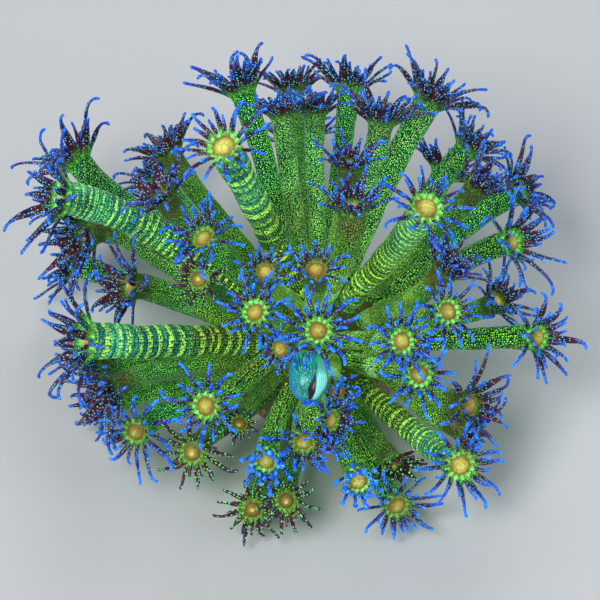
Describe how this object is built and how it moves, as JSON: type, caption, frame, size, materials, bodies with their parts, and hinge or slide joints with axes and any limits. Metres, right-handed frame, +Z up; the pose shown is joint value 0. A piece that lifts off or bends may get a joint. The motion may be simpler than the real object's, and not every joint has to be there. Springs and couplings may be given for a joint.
{
  "type": "flowerpot coral",
  "caption": "Colony of long fleshy polyps with starry tentacle crowns, spreading from a small skeletal dome that is cut flat underneath to stand on a surface.",
  "frame": {"origin": "middle of the flat cut under the skeleton", "axes": "+Z up, square to the cut; the side shown in the picture faces -Y and up"},
  "size_m": [0.131, 0.1241, 0.082],
  "materials": {
    "skeleton": "matte",
    "speckled_flesh": "satin",
    "ringed_flesh": "satin",
    "closed_flesh": "satin"
  },
  "bodies": {
    "root": {"skeleton": "skeleton", "polyp_01": "speckled_flesh", "polyp_02": "ringed_flesh", "polyp_03": "speckled_flesh", "polyp_04": "speckled_flesh", "polyp_05": "ringed_flesh", "polyp_06": "speckled_flesh", "polyp_07": "speckled_flesh", "polyp_08": "speckled_flesh", "polyp_09": "speckled_flesh", "polyp_10": "speckled_flesh", "polyp_11": "speckled_flesh", "polyp_12": "speckled_flesh", "polyp_13": "speckled_flesh", "polyp_14": "speckled_flesh", "polyp_15": "speckled_flesh", "polyp_16": "speckled_flesh", "polyp_17": "speckled_flesh", "polyp_18": "speckled_flesh", "polyp_19": "speckled_flesh", "polyp_20": "speckled_flesh", "polyp_21": "ringed_flesh", "polyp_22": "speckled_flesh", "polyp_23": "speckled_flesh", "polyp_24": "speckled_flesh", "polyp_25": "speckled_flesh", "polyp_26": "speckled_flesh", "polyp_27": "speckled_flesh", "polyp_28": "speckled_flesh", "polyp_29": "speckled_flesh", "polyp_30": "speckled_flesh", "polyp_31": "speckled_flesh", "polyp_32": "speckled_flesh", "polyp_33": "speckled_flesh", "polyp_34": "speckled_flesh", "polyp_35": "speckled_flesh", "polyp_36": "ringed_flesh", "polyp_37": "speckled_flesh", "polyp_38": "speckled_flesh", "polyp_39": "speckled_flesh", "polyp_40": "speckled_flesh", "polyp_41": "speckled_flesh", "polyp_42": "speckled_flesh", "polyp_43": "speckled_flesh", "polyp_44": "speckled_flesh", "polyp_45": "speckled_flesh", "polyp_46": "speckled_flesh", "polyp_47": "speckled_flesh", "polyp_48": "speckled_flesh", "polyp_49": "speckled_flesh", "polyp_50": "speckled_flesh", "polyp_51": "ringed_flesh", "polyp_52": "speckled_flesh", "polyp_53": "speckled_flesh", "polyp_54": "speckled_flesh", "polyp_55": "speckled_flesh", "polyp_56": "speckled_flesh", "polyp_57": "speckled_flesh", "polyp_58": "speckled_flesh", "closed_polyp": "closed_flesh"}
  },
  "joints": []
}
